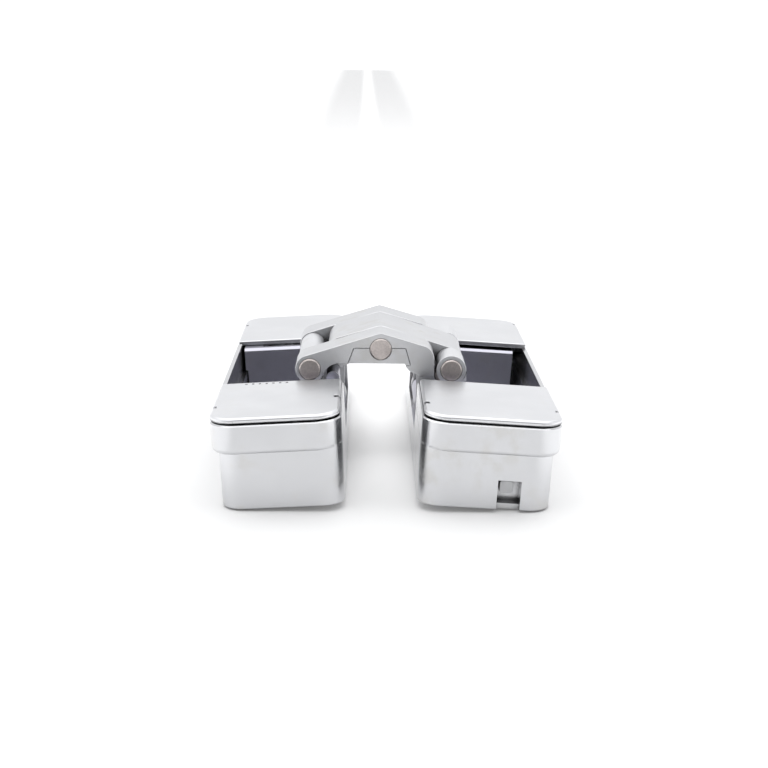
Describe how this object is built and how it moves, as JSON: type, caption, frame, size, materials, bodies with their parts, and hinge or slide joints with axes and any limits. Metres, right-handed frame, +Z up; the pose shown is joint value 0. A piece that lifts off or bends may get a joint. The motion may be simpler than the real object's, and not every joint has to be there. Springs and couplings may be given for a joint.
{
  "type": "concealed door hinge",
  "caption": "Concealed door hinge with two mortise leaves, a folding arm linkage on steel pins, slotted link feet, and carriages that adjust height and side position.",
  "frame": {"origin": "centre of the footprint on the bench, hinge lying open on the backs of its leaves", "axes": "+X from the left leaf to the right leaf, +Y along the leaves and the pins away from the viewer, +Z up out of the leaf faces"},
  "size_m": [0.0778, 0.11, 0.0324],
  "materials": {
    "housing_zinc": "satin, bead blasted",
    "cover_zinc": "satin, bead blasted, bright bevel",
    "carriage_zinc": "satin grey",
    "arm_zinc": "satin",
    "link_zinc": "satin",
    "pin_steel": "copper-tinted steel, turned",
    "screw_steel": "zinc plated",
    "block_zinc": "satin"
  },
  "bodies": {
    "left_leaf": {"left_housing": "housing_zinc", "left_cover_near": "cover_zinc", "left_cover_far": "cover_zinc", "left_clamp_screws": "screw_steel"},
    "left_carriage": {"left_carriage": "carriage_zinc", "left_leg_pin": "pin_steel", "left_foot_pins": "pin_steel"},
    "middle_arm": {"middle_arm": "arm_zinc", "right_link_pin": "pin_steel"},
    "fork": {"fork_arm_near": "arm_zinc", "fork_arm_far": "arm_zinc", "centre_pin": "pin_steel", "left_link_pin": "pin_steel"},
    "left_link": {"left_link": "link_zinc"},
    "right_links": {"right_link_near": "link_zinc", "right_link_far": "link_zinc"},
    "right_carriage": {"right_carriage": "carriage_zinc", "right_leg_pin": "pin_steel", "right_foot_pins": "pin_steel"},
    "right_leaf": {"right_housing": "housing_zinc", "right_cover_near": "cover_zinc", "right_cover_far": "cover_zinc", "right_clamp_screws": "screw_steel", "index_block": "block_zinc"},
    "height_screw": {"height_screw": "screw_steel"},
    "side_screw_near": {"side_screw_near": "screw_steel"},
    "side_screw_far": {"side_screw_far": "screw_steel"}
  },
  "joints": [
    {"name": "height_adjust", "type": "slide", "parent": "left_leaf", "child": "left_carriage", "axis": [0, 1, 0], "range_m": [-0.0015, 0.0015]},
    {"name": "fold", "type": "hinge", "parent": "left_carriage", "child": "middle_arm", "pos_m": [-0.01242, 0, 0.01249], "axis": [0, -1, 0], "range_deg": [0, 91.2]},
    {"name": "scissor", "type": "hinge", "parent": "middle_arm", "child": "fork", "pos_m": [-0.001, 0, 0.02855], "axis": [0, -1, 0], "range_deg": [0, 4.22]},
    {"name": "right_fold", "type": "hinge", "parent": "fork", "child": "right_carriage", "pos_m": [0.01042, 0, 0.01249], "axis": [0, -1, 0], "range_deg": [0, 91.22]},
    {"name": "side_adjust", "type": "slide", "parent": "right_carriage", "child": "right_leaf", "axis": [0.9983, 0, -0.0576], "range_m": [-0.0009, 0.0009]},
    {"name": "left_link_swing", "type": "hinge", "parent": "fork", "child": "left_link", "pos_m": [-0.0181, 0, 0.02345], "axis": [0, -1, 0], "range_deg": [0, 46.62]},
    {"name": "right_link_swing", "type": "hinge", "parent": "middle_arm", "child": "right_links", "pos_m": [0.0161, 0, 0.02345], "axis": [0, -1, 0], "range_deg": [-46.62, 0]},
    {"name": "height_screw_turn", "type": "hinge", "parent": "left_leaf", "child": "height_screw", "pos_m": [-0.02487, 0.0405, 0.01127], "axis": [0, 1, 0], "range_deg": [-676, 676]},
    {"name": "side_screw_near_turn", "type": "hinge", "parent": "right_leaf", "child": "side_screw_near", "pos_m": [0.02252, -0.03975, 0.0138], "axis": [0.9983, 0, -0.0576], "range_deg": [-541, 541]},
    {"name": "side_screw_far_turn", "type": "hinge", "parent": "right_leaf", "child": "side_screw_far", "pos_m": [0.02252, 0.03975, 0.0138], "axis": [0.9983, 0, -0.0576], "range_deg": [-541, 541]}
  ],
  "couplings": [
    {"joint": "scissor", "follows": "fold", "ratio": 0.046047},
    {"joint": "right_fold", "follows": "fold", "ratio": 1},
    {"joint": "left_link_swing", "follows": "fold", "ratio": 0.51097},
    {"joint": "right_link_swing", "follows": "fold", "ratio": -0.51097},
    {"joint": "height_screw_turn", "follows": "height_adjust", "rad_per_m": 7854},
    {"joint": "side_screw_near_turn", "follows": "side_adjust", "rad_per_m": 10472},
    {"joint": "side_screw_far_turn", "follows": "side_adjust", "rad_per_m": 10472}
  ]
}
